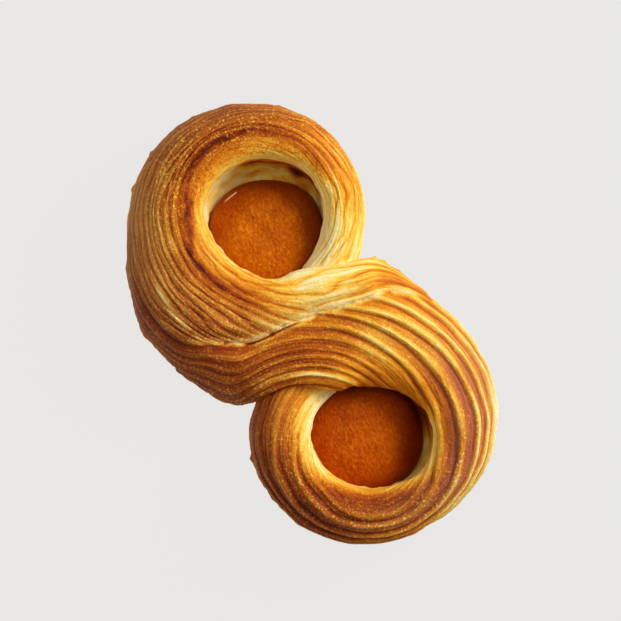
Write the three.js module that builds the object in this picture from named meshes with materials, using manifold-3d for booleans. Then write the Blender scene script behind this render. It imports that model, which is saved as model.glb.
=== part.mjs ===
// Apricot danish: one ribbed strand of laminated dough, curled into an S that closes round two wells,
// with half an apricot lying cut side down in each well.
//
// Frame: millimetres, +Z up, base on z = 0. X runs along the line that joins the wells and the origin is midway
// between them. The curl at +X has broad layers and the curl at -X has fine ones.
//
// Each curl is swept round its own well in polar form. `turn` is the angle gone round the well from the line
// of centres, clockwise from above, and the strand's section lies in the half-plane (radius, height) of that turn.
import * as THREE from "three";
import { mergeVertices } from "three/addons/utils/BufferGeometryUtils.js";
import Module from "manifold-3d";

const wasm = await Module();
wasm.setup();

// ---- Sizes of the whole, in millimetres -------------------------------------------------------------------
const WELL_OFFSET = 38.4; // from the origin to the centre of each well
const FLOOR_TOP = 7; // top of the dough floor under the fruit
const FLOOR_RADIUS = 22; // reaches into the strand all round
const BELLY_HEIGHT = 11; // where the strand's outside bulges furthest
const FOOT_INSET = 4.5; // how far the underside stays inside the belly
const LIP_DROP = 6.5; // from the strand's crest down to the lip of the well
const GAP = 0.3; // clearance between dough and fruit
const CREST_SHARE = 0.42; // how far out from lip to outside the crest lies once the curls have parted
const MEETING = [8, 42]; // turns between which the section that spans both wells gives way to the curl's own
const ROUNDNESS = { apart: 2.25, meeting: 2.9 }; // superellipse power of the section's top
const WALL_POWER = 2; // the same for the well's wall and for the underside of the belly
const BASE_OVERLAP = 0.4; // how far the flat base starts inside the foot

// ---- The two curls: [turn in degrees, size in millimetres] through the points where each size changes -----
const BROAD = {
  side: 1,
  outer: [[0, 57.8], [15, 55.7], [27, 57], [40, 52.2], [55, 47.7], [75, 45.4], [115, 40.6], [155, 34.9],
    [190, 33.2], [240, 34], [285, 36.4], [305, 37], [330, 36], [352, 32]],
  lip: [[0, 17.4], [30, 16.6], [65, 18.6], [100, 21.2], [140, 20.6], [180, 16.8], [220, 15.5], [265, 16.4],
    [300, 17.8], [352, 17.6]],
  slope: [[0, 0.4], [60, 0.6], [100, 3], [140, 2.6], [180, 0.4], [352, 0.4]],
  crest: [[0, 29], [70, 30], [130, 30], [200, 28], [270, 27], [305, 25.5], [330, 23], [352, 20]],
  rollOut: [[0, 0], [115, 0], [190, 5.4], [250, 2.2], [330, -2]],
  layer: { pitch: 6.4, first: 23.4, lift: 1.1 },
};
const FINE = {
  side: -1,
  outer: [[0, 59.4], [15, 53.4], [33, 59], [55, 55.2], [75, 51.7], [95, 46.6], [115, 43.5], [145, 42.2],
    [185, 38.4], [225, 35.2], [265, 32.6], [295, 31.6], [330, 32], [352, 30]],
  lip: [[0, 19], [15, 19.4], [45, 17.4], [75, 16.8], [100, 17.8], [125, 19.5], [205, 19.4], [245, 19.8],
    [275, 19.2], [305, 18.4], [330, 18.8], [345, 19.6], [352, 20.6]],
  slope: [[0, 0.4], [100, 0.6], [130, 4.5], [175, 7], [225, 6.4], [285, 1.2], [352, 0.4]],
  crest: [[0, 29], [70, 30], [150, 30], [230, 28.5], [275, 27], [305, 25], [330, 22.5], [352, 20]],
  rollOut: [[0, 0], [70, 0], [175, 4.6], [265, -2], [330, -5]],
  layer: { pitch: 4.9, first: 24.2, lift: 0.8 },
};

// Ribs run in from the line of centres on a spiral and level out round the well.
const SPIRAL = { fall: 0.4, levelsAt: 38, ease: 22 }; // mm a degree, degrees, degrees
const SPIRAL_CUT = { share: 0.4, between: [24, 36], passes: 3 }; // the spiral is weaker for the outer levels
const ROLL_ENDS = [26, 40]; // levels between which the roll of the inner layers fades
const RIB_TURNS = { start: [0, 14], end: [310, 340] }; // where ribs rise from the seam and sink under the tucked end
const RIB_SEAM_FADE = [-9, 1]; // distance from the seam, in x, over which ribs end there
const RIB_SEAM_TURNS = 90; // no rib meets the seam past this turn
// The seam where one bundle of layers folds under the other: x against y, both in millimetres.
const SEAM = [[-75, -26], [-50, -17], [-32, -10.3], [-27, -7.7], [-20, -4.9], [-8, -4.8], [4, -4], [17, -2.2],
  [27, -1.4], [35, 1.6], [48, 10]];
const SEAM_DEPTH = 3.6;
const SEAM_WIDTH = 3.8;
const SEAM_ENDS = [24, 38]; // the seam fades out between these distances along Y
const SEAM_HEIGHTS = [12, 24]; // only the strand's top sinks into it, fading between these heights

// ---- The apricot halves -----------------------------------------------------------------------------------
const FRUIT_RADIUS = 19.2;
const FRUIT_HEIGHT = 12;
const FRUIT_LEAN = { fine: [-33, -2.3], broad: [37.6, -0.4] }; // centres in plan
const FRUIT_CREASE = { width: 0.16, depth: 0.5 }; // the suture line: a share of the radius, and millimetres
const FRUIT_EDGE = 1; // width of the rounded rim of the cut side
const FRUIT_BULGE = 0.9; // below 1 the dome is flatter on top and steeper at its edge

// ---- Mesh density -----------------------------------------------------------------------------------------
const LAST_TURN = 352;
const TURN_STEPS = 54;
const MIDDLE_SHARE = 0.3; // of the steps, spent on the first fifth of the turn where the curls meet
const MIDDLE_TURN = 66;
const POINTS = { wall: 3, inner: 8, outer: 26, under: 3, base: 2 };
const FLOOR_SIDES = 40;
const FRUIT_RINGS = 14;
const FRUIT_SIDES = 44;
const WELD = 1e-4; // points closer than this are one

const radians = THREE.MathUtils.degToRad;
const ramp = THREE.MathUtils.smoothstep;

/** Height of a smooth curve through [position, value] knots: a cubic Hermite with Catmull-Rom slopes. */
function along(knots, x) {
  const last = knots.length - 1;
  if (x <= knots[0][0]) return knots[0][1];
  if (x >= knots[last][0]) return knots[last][1];
  const i = knots.findIndex((knot) => knot[0] > x) - 1;
  const slope = (k) => {
    const a = knots[Math.max(k - 1, 0)];
    const b = knots[Math.min(k + 1, last)];
    return (b[1] - a[1]) / (b[0] - a[0]);
  };
  const [x0, y0] = knots[i];
  const [x1, y1] = knots[i + 1];
  const span = x1 - x0;
  const t = (x - x0) / span;
  const rise = y1 - y0;
  const bend = t * (1 - t) * span * ((1 - t) * (slope(i) - rise / span) - t * (slope(i + 1) - rise / span));
  return y0 + rise * t + bend;
}

/** How far a rib still has to spiral in at this turn, in millimetres. */
function spiralLeft(turn) {
  const { fall, levelsAt, ease } = SPIRAL;
  return fall * ease * Math.log1p(Math.exp((levelsAt - turn) / ease));
}

/** Level radius of the rib through a point of a curl: its radius with the spiral and the roll taken off. */
function levelRadius(curl, turn, radius) {
  const spiral = spiralLeft(turn);
  let level = radius - spiral;
  for (let pass = 0; pass < SPIRAL_CUT.passes; pass++) {
    level = radius - spiral * (1 - SPIRAL_CUT.share * ramp(level, ...SPIRAL_CUT.between));
  }
  return level - along(curl.rollOut, turn) * (1 - ramp(level, ...ROLL_ENDS));
}

/** Height of a curl's ribs at an unrolled point in plan. They rise from the seam and sink under the tucked end. */
function relief(curl, turn, radius) {
  const { pitch, first, lift } = curl.layer;
  const ridge = 0.5 + 0.5 * Math.cos((2 * Math.PI * (levelRadius(curl, turn, radius) - first)) / pitch);
  const shown = ramp(turn, ...RIB_TURNS.start) * (1 - ramp(turn, ...RIB_TURNS.end));
  if (turn > RIB_SEAM_TURNS) return ridge * lift * shown;
  const x = curl.side * (WELL_OFFSET - radius * Math.cos(radians(turn)));
  const y = curl.side * radius * Math.sin(radians(turn));
  const seamSide = ramp(curl.side * (along(SEAM, y) - x), ...RIB_SEAM_FADE);
  const beyondSeam = seamSide * (1 - ramp(Math.abs(y), ...SEAM_ENDS));
  return ridge * lift * shown * (1 - beyondSeam);
}

/** Depth of the seam at a point in plan. */
function seamDepth(x, y) {
  const across = Math.abs(x - along(SEAM, y));
  return SEAM_DEPTH * Math.exp(-((across / SEAM_WIDTH) ** 2)) * (1 - ramp(Math.abs(y), ...SEAM_ENDS));
}

/** A quarter of a superellipse from (a, b) times (1, 0) at share 0 to (0, 1) at share 1. */
function quarter(share, power) {
  const angle = (share * Math.PI) / 2;
  return [Math.cos(angle) ** (2 / power), Math.sin(angle) ** (2 / power)];
}

/** The strand's section at one turn: [radius, height, ribs' share] from the wall's base over the crest and back. */
function section(curl, other, turn) {
  const lip = along(curl.lip, turn);
  const outer = along(curl.outer, turn);
  const top = along(curl.crest, turn);
  const middle = 1 - ramp(turn, ...MEETING);
  const crest = lip + (outer - lip) * THREE.MathUtils.lerp(CREST_SHARE, 1 / 2, middle);
  const lipHeight = top - LIP_DROP;
  const wallFoot = lip - along(curl.slope, turn);
  const otherFoot = 2 * WELL_OFFSET - (along(other.lip, 0) - along(other.slope, 0));
  const belly = THREE.MathUtils.lerp(Math.min(BELLY_HEIGHT, top / 2), lipHeight, middle);
  const foot = THREE.MathUtils.lerp(outer - FOOT_INSET, otherFoot, middle);
  const footHeight = FLOOR_TOP * middle;
  const power = THREE.MathUtils.lerp(ROUNDNESS.apart, ROUNDNESS.meeting, middle);
  const points = [];
  for (let i = 0; i < POINTS.wall; i++) {
    const [across, up] = quarter(1 - i / POINTS.wall, WALL_POWER);
    points.push([wallFoot + (lip - wallFoot) * across, lipHeight - (lipHeight - FLOOR_TOP) * up, 0]);
  }
  for (let i = 0; i < POINTS.inner; i++) {
    const [across, up] = quarter(i / POINTS.inner, power);
    points.push([crest - (crest - lip) * across, lipHeight + (top - lipHeight) * up, i / POINTS.inner]);
  }
  for (let i = 0; i < POINTS.outer; i++) {
    const [across, up] = quarter(1 - i / POINTS.outer, power);
    points.push([crest + (outer - crest) * across, belly + (top - belly) * up, 1]);
  }
  for (let i = 0; i <= POINTS.under; i++) {
    const [across, down] = quarter(i / POINTS.under, WALL_POWER);
    points.push([foot + (outer - foot) * across, belly - (belly - footHeight) * down, 1 - i / POINTS.under]);
  }
  for (let i = 0; i < POINTS.base; i++) {
    points.push([THREE.MathUtils.lerp(foot - BASE_OVERLAP, wallFoot, i / (POINTS.base - 1)), 0, 0]);
  }
  return points;
}

/** Lifts a section's points along their normals by the ribs and drops them into the seam, then sets them in plan. */
function place(curl, other, turn) {
  const flat = section(curl, other, turn);
  const crestAt = POINTS.wall + POINTS.inner;
  const unrolled = flat.map((point) => point[0]);
  for (const step of [1, -1]) {
    for (let i = crestAt + step; i >= 0 && i < flat.length; i += step) {
      const run = Math.hypot(flat[i][0] - flat[i - step][0], flat[i][1] - flat[i - step][1]);
      unrolled[i] = Math.max(unrolled[i - step] + step * run, 1);
    }
  }
  return flat.map(([radius, height, share], i) => {
    const before = flat[(i + flat.length - 1) % flat.length];
    const after = flat[(i + 1) % flat.length];
    const length = Math.hypot(after[0] - before[0], after[1] - before[1]);
    const lift = relief(curl, turn, unrolled[i]) * share;
    const out = radius - (lift * (after[1] - before[1]) * -1) / length;
    let up = height + (lift * (after[0] - before[0])) / length;
    const x = curl.side * (WELL_OFFSET - out * Math.cos(radians(turn)));
    const y = curl.side * out * Math.sin(radians(turn));
    if (share > 0) up -= seamDepth(x, y) * ramp(height, ...SEAM_HEIGHTS);
    return new THREE.Vector3(x, y, Math.max(up, 0));
  });
}

/** Turns of the sections, closer together where the curls meet. */
function turns() {
  const middleSteps = Math.round(TURN_STEPS * MIDDLE_SHARE);
  const list = [];
  for (let i = 0; i <= middleSteps; i++) list.push((MIDDLE_TURN * i) / middleSteps);
  for (let i = 1; i <= TURN_STEPS - middleSteps; i++) {
    list.push(MIDDLE_TURN + ((LAST_TURN - MIDDLE_TURN) * i) / (TURN_STEPS - middleSteps));
  }
  return list;
}

/** A closed mesh from rings of points swept round a well, with a flat cap on each end. */
function loft(rings, side) {
  const size = rings[0].length;
  const positions = rings.flat().flatMap((point) => point.toArray());
  const index = [];
  for (let i = 0; i + 1 < rings.length; i++) {
    for (let j = 0; j < size; j++) {
      const a = i * size + j;
      const b = i * size + ((j + 1) % size);
      index.push(a, a + size, b, b, a + size, b + size);
    }
  }
  for (const [ring, start, flip] of [[rings[0], 0, true], [rings.at(-1), (rings.length - 1) * size, false]]) {
    const reach = (point) => Math.hypot(point.x - side * WELL_OFFSET, point.y);
    const contour = ring.map((point) => new THREE.Vector2(reach(point), point.z));
    const turned = THREE.ShapeUtils.isClockWise(contour) === flip;
    for (const [a, b, c] of THREE.ShapeUtils.triangulateShape(contour, [])) {
      index.push(...(turned ? [start + a, start + c, start + b] : [start + a, start + b, start + c]));
    }
  }
  const geometry = new THREE.BufferGeometry();
  geometry.setAttribute("position", new THREE.Float32BufferAttribute(positions, 3));
  geometry.setIndex(index);
  return geometry;
}

/** A closed three.js geometry as a manifold solid. */
function solid(geometry) {
  const bare = geometry.clone();
  for (const name of ["normal", "uv"]) bare.deleteAttribute(name);
  const merged = mergeVertices(bare, WELD);
  return new wasm.Manifold(new wasm.Mesh({
    numProp: 3,
    vertProperties: merged.attributes.position.array,
    triVerts: new Uint32Array(merged.index.array),
  }));
}

/** A manifold solid as a three.js mesh with its own name and material. */
function mesh(name, body, material) {
  const { numProp, numVert, vertProperties, triVerts } = body.getMesh();
  const positions = new Float32Array(numVert * 3);
  for (let i = 0; i < numVert; i++) positions.set(vertProperties.subarray(i * numProp, i * numProp + 3), i * 3);
  const geometry = new THREE.BufferGeometry();
  geometry.setAttribute("position", new THREE.BufferAttribute(positions, 3));
  geometry.setIndex(new THREE.BufferAttribute(triVerts, 1));
  geometry.computeVertexNormals();
  const made = new THREE.Mesh(geometry, material);
  made.name = name;
  return made;
}

/** One curl of the strand. */
function curlBody(curl, other) {
  return solid(loft(turns().map((turn) => place(curl, other, turn)), curl.side));
}

/** The dough floor that closes a well from below. */
function floorBody(side) {
  const disc = new THREE.CylinderGeometry(FLOOR_RADIUS, FLOOR_RADIUS, FLOOR_TOP, FLOOR_SIDES);
  disc.rotateX(Math.PI / 2).translate(side * WELL_OFFSET, 0, FLOOR_TOP / 2);
  return solid(disc);
}

/** Half an apricot, cut side down: a low dome with a rounded edge and a shallow suture line. */
function fruitBody([x, y], grow, sutureAngle) {
  const profile = [new THREE.Vector2(0, -grow), new THREE.Vector2(FRUIT_RADIUS + grow - FRUIT_EDGE, -grow)];
  for (let i = 0; i <= FRUIT_RINGS; i++) {
    const angle = (i / FRUIT_RINGS) * (Math.PI / 2);
    const radius = (FRUIT_RADIUS + grow) * Math.cos(angle) ** FRUIT_BULGE;
    profile.push(new THREE.Vector2(i === FRUIT_RINGS ? 0 : radius, (FRUIT_HEIGHT + grow) * Math.sin(angle)));
  }
  const dome = new THREE.LatheGeometry(profile, FRUIT_SIDES);
  dome.rotateX(Math.PI / 2);
  const spots = dome.attributes.position;
  const line = new THREE.Vector2(Math.cos(sutureAngle), Math.sin(sutureAngle));
  for (let i = 0; i < spots.count; i++) {
    const off = (spots.getX(i) * line.y - spots.getY(i) * line.x) / (FRUIT_RADIUS * FRUIT_CREASE.width);
    const dip = FRUIT_CREASE.depth * Math.exp(-off * off) * Math.max(spots.getZ(i) / FRUIT_HEIGHT, 0);
    spots.setZ(i, spots.getZ(i) - (grow > 0 ? 0 : dip));
  }
  dome.translate(x, y, FLOOR_TOP + GAP);
  return solid(dome);
}

const crust = new THREE.MeshStandardMaterial({ color: 0xc98532, roughness: 0.5, metalness: 0 });
const fruit = new THREE.MeshStandardMaterial({ color: 0xc05a0c, roughness: 0.35, metalness: 0 });

const fruits = {
  apricot_fine: { centre: FRUIT_LEAN.fine, suture: radians(20) },
  apricot_broad: { centre: FRUIT_LEAN.broad, suture: radians(100) },
};

let dough = curlBody(BROAD, FINE).add(curlBody(FINE, BROAD)).add(floorBody(1)).add(floorBody(-1));
for (const { centre } of Object.values(fruits)) dough = dough.subtract(fruitBody(centre, GAP, 0));

const danish = new THREE.Group();
danish.add(mesh("dough", dough, crust));
for (const [name, { centre, suture }] of Object.entries(fruits)) {
  danish.add(mesh(name, fruitBody(centre, 0, suture), fruit));
}

export default danish;
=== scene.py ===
"""An apricot danish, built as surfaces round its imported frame.

Lengths are millimetres in the frame's axes until a mesh is made. Each curl of the strand is swept round
its own well. `turn` is the angle in degrees gone round the well from the line of centres, `radius` is
measured from the well's centre, and `reach` is the radius less that of the well's lip. `level` is the
radius that a layer has once it runs level round the well, and `run` is a length along the layers.
"""

import math
from types import SimpleNamespace

import bpy
import numpy as np
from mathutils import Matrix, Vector


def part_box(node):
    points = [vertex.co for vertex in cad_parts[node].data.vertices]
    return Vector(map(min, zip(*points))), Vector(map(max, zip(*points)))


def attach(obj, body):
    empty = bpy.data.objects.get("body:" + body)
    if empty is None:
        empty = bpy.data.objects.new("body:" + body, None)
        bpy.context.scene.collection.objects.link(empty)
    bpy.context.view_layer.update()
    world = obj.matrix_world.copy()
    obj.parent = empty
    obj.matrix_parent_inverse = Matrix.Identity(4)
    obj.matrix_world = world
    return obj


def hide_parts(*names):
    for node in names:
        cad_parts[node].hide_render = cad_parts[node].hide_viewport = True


bl_info = {
    "name": "Apricot danish",
    "version": (1, 0, 0),
    "blender": (4, 5, 0),
    "location": "View3D > Sidebar > Danish",
    "description": "Makes the crust, the fruit and the studio of an apricot danish",
    "category": "Object",
}

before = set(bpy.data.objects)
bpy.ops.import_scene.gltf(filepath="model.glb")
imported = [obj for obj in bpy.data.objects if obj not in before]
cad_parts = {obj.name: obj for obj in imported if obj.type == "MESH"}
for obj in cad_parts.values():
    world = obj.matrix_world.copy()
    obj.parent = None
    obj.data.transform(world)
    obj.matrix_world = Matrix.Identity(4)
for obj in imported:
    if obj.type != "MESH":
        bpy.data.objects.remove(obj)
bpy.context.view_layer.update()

MM = 0.001
PHOTO_TURN = math.radians(65.1)  # from the frame's X axis to the picture's right
VIEW_CENTRE = (-6.04, 1.04)  # point of the frame at the middle of the picture
VIEW_WIDTH = 198.7  # width of the picture at the height of the outline
OUTLINE_HEIGHT = 12.0

# ---- Form of the strand ----------------------------------------------------------------------------
WELL_OFFSET = 38.4  # from the origin to the centre of each well
FLOOR_TOP = 7.0  # top of the dough floor under the fruit
FLOOR_RADIUS = 22.0  # reaches into the strand all round
LIP_DROP = 6.5  # from the strand's crest down to the lip of the well
BELLY_HEIGHT = 11.0  # where the strand's outside bulges furthest
FOOT_INSET = 4.5  # how far the underside stays inside the belly
BASE_OVERLAP = 0.4  # how far the flat base starts inside the foot
LAST_TURN = 352.0
SHOULDER_HEIGHT = 19.0  # below it the strand's outside is out of the picture's sight
CREST_SHARE = 0.42  # how far out from lip to outside the crest lies once the curls have parted
MEETING = (8, 42)  # turns over which the section that spans both wells gives way to the curl's own
ROUNDNESS = {"apart": 2.25, "meeting": 2.9}  # superellipse power of the section's top
WALL_POWER = 2.0  # the same for the well's wall and for the underside of the belly

# Each curl's sizes are [turn, millimetres] where they change: the outline's radius, the lip's radius, how
# far the well's wall slopes in, the crest's height and how far the inner layers roll out. Its zones of
# colour are tables from 0 to 1, with a turn in front of each row and a column for each ZONE_REACH from the
# lip: how far the crust is baked (0 is cream, 1 is burnt), how far it turns from orange to a greyer tan,
# which on the outer flanks is painted shade, most on the left ones away from the key light, where a painted
# mauve reflection of its glaze lies and where it has blistered into golden specks. Its burrs are torn flakes
# that stand out at the outline: turn, width in degrees and height.
ZONE_REACH = [0, 4, 9, 16, 26, 40]
BROAD = {
    "name": "curl_broad",
    "side": 1,
    "seed": 11,
    "outer": [[0, 57.8], [15, 55.7], [27, 57], [40, 52.2], [55, 47.7], [75, 45.4], [115, 40.6],
              [155, 34.9], [190, 33.2], [240, 34], [285, 36.4], [305, 37], [330, 36], [352, 32]],
    "lip": [[0, 17.4], [30, 16.6], [65, 18.6], [100, 21.2], [140, 20.6], [180, 16.8], [220, 15.5],
            [265, 16.4], [300, 17.8], [352, 17.6]],
    "slope": [[0, 0.4], [60, 0.6], [100, 3], [140, 2.6], [180, 0.4], [352, 0.4]],
    "crest": [[0, 29], [70, 30], [130, 30], [200, 28], [270, 27], [305, 25.5], [330, 23], [352, 20]],
    "roll": [[0, 0], [115, 0], [190, 5.4], [250, 2.2], [330, -2]],
    "bake": [
        [-60, .50, .68, .80, .84, .88, .90], [-30, .50, .65, .78, .80, .76, .81],
        [0, .58, .66, .71, .75, .54, .56], [30, .62, .60, .46, .37, .46, .49],
        [60, .54, .58, .52, .41, .43, .54], [88, .46, .56, .66, .60, .40, .52],
        [104, .26, .60, .75, .55, .26, .52], [130, .20, .62, .80, .48, .36, .62],
        [180, .36, .82, .66, .62, .62, .80], [230, .34, .82, .74, .86, .88, .92],
        [262, .20, .56, .74, .86, .88, .92], [300, .10, .34, .58, .72, .80, .90],
        [345, .06, .26, .54, .66, .72, .78]],
    "dull": [
        [-60, 0, 0, .1, .2, .3, .4], [30, 0, 0, 0, 0, 0, 0], [95, 0, 0, 0, .1, .4, .6],
        [150, 0, .1, .2, .1, .2, .3], [230, 0, 0, .1, .3, .4, .5], [345, 0, 0, .1, .3, .4, .5]],
    "gloss": [
        [-60, 0, 0, 0, 0, 0, 0], [50, 0, 0, .1, .3, .1, 0], [85, 0, 0, .4, .9, .5, 0],
        [110, 0, .1, .9, .8, .1, 0], [150, 0, .5, .8, .4, .1, 0], [190, 0, .2, .3, .1, 0, 0],
        [250, 0, 0, .1, 0, 0, 0], [345, 0, 0, 0, 0, 0, 0]],
    "blister": [
        [-60, 0, .3, .7, .9, .9, .8], [-20, 0, .2, .5, .6, .5, .3], [60, 0, 0, .2, .3, .2, 0],
        [130, 0, .4, .9, .4, .3, .1], [190, .1, .7, 1, .5, .3, .1], [240, .1, .5, .9, .6, .4, .2],
        [345, 0, 0, .1, .2, .2, .1]],
    "burrs": [
        [27.6, 0.7, 4.4], [30.5, 0.8, 2.0], [36, 1.0, 1.0], [47, 1.4, 0.7], [131, 1.3, 0.4],
        [226, 1.5, 0.5], [284.5, 1.8, 1.3], [262, 1.2, 0.5]],
    "ragged": 0.0,  # how much rougher the outline is before it leaves the other curl, in millimetres
    "crackled": 0.0,  # how far the baked skin of the lip has crackled, 0 to 1
}
FINE = {
    "name": "curl_fine",
    "side": -1,
    "seed": 37,
    "outer": [[0, 59.4], [15, 53.4], [33, 59], [55, 55.2], [75, 51.7], [95, 46.6], [115, 43.5],
              [145, 42.2], [185, 38.4], [225, 35.2], [265, 32.6], [295, 31.6], [330, 32], [352, 30]],
    "lip": [[0, 19], [15, 19.4], [45, 17.4], [75, 16.8], [100, 17.8], [125, 19.5], [205, 19.4], [245, 19.8],
            [275, 19.2], [305, 18.4], [330, 18.8], [345, 19.6], [352, 20.6]],
    "slope": [[0, 0.4], [100, 0.6], [130, 4.5], [175, 7], [225, 6.4], [285, 1.2], [352, 0.4]],
    "crest": [[0, 29], [70, 30], [150, 30], [230, 28.5], [275, 27], [305, 25], [330, 22.5], [352, 20]],
    "roll": [[0, 0], [70, 0], [175, 4.6], [265, -2], [330, -5]],
    "bake": [
        [-40, .06, .10, .18, .30, .46, .56], [-15, .06, .10, .20, .34, .44, .54],
        [10, .18, .26, .40, .48, .46, .60], [35, .36, .54, .62, .58, .62, .72],
        [60, .34, .50, .62, .60, .73, .86], [90, .26, .42, .60, .56, .57, .72],
        [130, .26, .46, .63, .56, .54, .64], [180, .22, .45, .65, .68, .68, .76],
        [220, .16, .40, .61, .62, .59, .65], [260, .12, .36, .50, .45, .44, .50],
        [300, .08, .18, .24, .27, .32, .44], [325, .02, .06, .10, .16, .26, .44],
        [345, .00, .00, .04, .10, .22, .42]],
    "dull": [
        [-40, 0, 0, 0, 0, 0, 0], [20, 0, 0, .1, .3, .4, .4], [60, 0, 0, 0, .3, .4, .5],
        [110, 0, 0, 0, .5, .7, .7], [150, 0, 0, 0, .3, .6, .7], [200, 0, 0, .1, .3, .5, .7],
        [240, 0, 0, 0, .1, .2, .3], [345, 0, 0, 0, 0, .1, .2]],
    "gloss": [[-40, 0, 0, 0, 0, 0, 0], [345, 0, 0, 0, 0, 0, 0]],
    "blister": [
        [-40, 0, 0, 0, 0, 0, 0], [40, 0, .1, .4, .5, .7, .7], [75, 0, .1, .4, .4, .5, .5],
        [110, 0, .1, .6, .4, .1, 0], [150, 0, .1, .8, .8, .2, 0], [190, 0, .2, .8, .8, .2, 0],
        [260, 0, .1, .2, .2, .1, 0], [345, 0, 0, 0, 0, 0, 0]],
    "burrs": [
        [42, 1.4, 0.6], [58, 1.3, 0.5], [96, 1.3, 0.5], [128, 1.6, 0.9], [145.5, 1.4, 0.8],
        [170, 1.2, 0.5], [212, 1.5, 0.6], [250, 1.3, 0.4]],
    "ragged": 1.3,
    "crackled": 1.0,
}
ZONES = ("bake", "dull", "gloss", "blister")

# The fine curl's narrow dark band along its crest: its radius, its width and how dark it is, by turn.
DARK_BAND = [[10, 32], [25, 28.4], [35, 26.4], [50, 25], [65, 25.2], [80, 25.6], [95, 24.9],
             [110, 24.2], [125, 24.6], [140, 27], [150, 28], [175, 28.6], [195, 28.2], [212, 27.4],
             [240, 26], [255, 24]]
DARK_BAND_WIDTH = [[40, 1.1], [90, 1.5], [130, 1.5], [160, 1.3], [262, 1.1]]
DARK_BAND_BAKE = [[0, 0], [25, 0.08], [50, 0.18], [100, 0.33], [200, 0.27], [240, 0.18], [262, 0]]

# The seam between the two bundles of layers, as x against y.
SEAM = [[-75, -26], [-50, -17], [-32, -10.3], [-27, -7.7], [-20, -4.9], [-8, -4.8], [4, -4], [17, -2.2],
        [27, -1.4], [35, 1.6], [48, 10]]
SEAM_WIDTH = 3.4
SEAM_ENDS = (24, 38)  # distance from the line of centres over which the seam's groove fades
SEAM_BLEND = (-0.35, 0.35)  # distance from the seam over which one curl's layers give way to the other's
SEAM_CREASE = (0.9, 0.5)  # depth and width of the sharp crease at the bottom of the seam
SEAM_HEIGHTS = (12, 24)  # heights between which the seam fades out down the strand's sides
SEAM_GONE = 40.0  # how far the seam is moved away on the far sides of the wells, where there is none
# The hole is a dark mark of painted shade, with no hole in the surface.
SEAM_HOLE = (-8.0, -27.5)  # place in the plan of the small dark hole beside the seam
# The pale streak that runs on from the seam's left end over the fine curl's flank, as y against x.
PALE_STREAK = [[-36, -40.3], [-32, -40], [-24, -39.1], [-17, -36.6], [-12.4, -34.3], [-8, -31]]

# ---- The layers ------------------------------------------------------------------------------------
# The broad curl's layers run in from the line of centres on a spiral and level out round the well.
SPIRAL = {"fall": 8.8, "levels_at": 38, "ease": 22}
# The spiral is weaker for the outer levels. As the level is found from the spiral, a few passes settle it.
SPIRAL_CUT = {"share": 0.4, "between": (24, 36), "passes": 3}
ROLL_ENDS = (26, 40)  # levels between which the roll of the inner layers fades
# The fine curl's layers draw together towards the line of centres, down to a least radius.
SQUEEZE = {"share": 0.74, "middle": 10, "span": 17, "radius": 15}
FLANK_DIP = {"depth": 13.8, "middle": 46, "span": 6}  # how far the flank's layers turn in under the seam
STRAND_SPREAD = 0.012  # how much wider a layer of the straight strand gets with each millimetre of y
# Level of the broad curl that a flank layer flows into: that at no radius, and its fall a millimetre.
FLANK_LEVELS = {"start": 68.1, "fall": 0.945}

# Where the broad curl's pale ridges lie: their number against their level.
RIDGES = [[-6, -7], [4, -4.2], [10, -2.4], [14.6, -1], [19.3, 0], [23.2, 1], [29.9, 2], [35.6, 3], [40.3, 4],
          [46, 5], [51.5, 6], [80, 11]]
RIDGE_GAPS = {"from": 22, "inside": 4.4, "outside": 5.8}  # between ridges, inside and outside a level
RIDGE_SIDES = (0.95, 1.25)  # half widths of a ridge's steep side and of its slow side
RIDGE_POWER = 2.6
# The groove beside a ridge is also darkened as painted shadow.
UNDERCUT = (-1.75, 0.5)  # place and half width of the groove beside a ridge
RIB_PITCH = {"broad": 1.45, "fine": 2.4, "finest": 1.0}
RIB_SKEW = 0.8
RUN_RADIUS = 30.0  # radius at which the length along the layers is measured
LEAST_RADIUS = 2.0  # nearest to the well's centre that the layers are looked up
NOISE_GRID = 256  # size of the grid of random values that noise repeats

# ---- Mesh density ----------------------------------------------------------------------------------
STRETCHES = {"wall": 27, "top": 214, "under": 27, "base": 16}  # points along each stretch of the section
TURN_STEPS = 332
SECTION_DETAIL = 160  # points of a quarter of the section before it is evened out
LEAST_STEP = 1e-9  # keeps the shares of a length that is nothing from failing
TOP_START = STRETCHES["wall"]
TOP_END = TOP_START + STRETCHES["top"]
RING_SIZE = sum(STRETCHES.values())
# Order in which the fine curl's first ring meets the broad curl's: the same ring, gone round the other way.
JOINT = (TOP_END + STRETCHES["under"] - np.arange(RING_SIZE)) % RING_SIZE

# ---- Fruit and floors ------------------------------------------------------------------------------
# Each half: its name, seed, direction of its suture in degrees, and how red it is.
FRUITS = (("apricot_fine", 5, 20, 0.15), ("apricot_broad", 8, 100, 1.0))
FRUIT_RINGS, FRUIT_POINTS = 190, 220
FRUIT_CUT = 0.06  # share of the rings that lie in the flat cut side
FRUIT_BULGE = 0.8  # power of the angle's cosine and sine that makes the dome fuller than a sphere
SUTURE_WIDTH = 0.14  # share of the fruit's radius
POLE_RADIUS = 0.01  # of the small faces that close the fruit
# Painted highlight: a pale streak of glaze painted along the fine well's apricot.
GLINT = ((-49.2, -9.0), (-50.3, -4.6))  # line on the fine well's apricot where the glaze shines
GLINT_WIDTH = 0.17
FLOOR_RINGS, FLOOR_POINTS = 20, 64
FLOOR_PROFILE = {"share": (0, 0.45, 0.55, 1), "radius": (0.02, FLOOR_RADIUS, FLOOR_RADIUS, 0.02),
                 "height": (0.1, 0.1, FLOOR_TOP, FLOOR_TOP)}
UNDER_BAKE, UNDER_DULL = 0.72, 0.35  # the even bake of the underside and of the wells' floors

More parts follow.
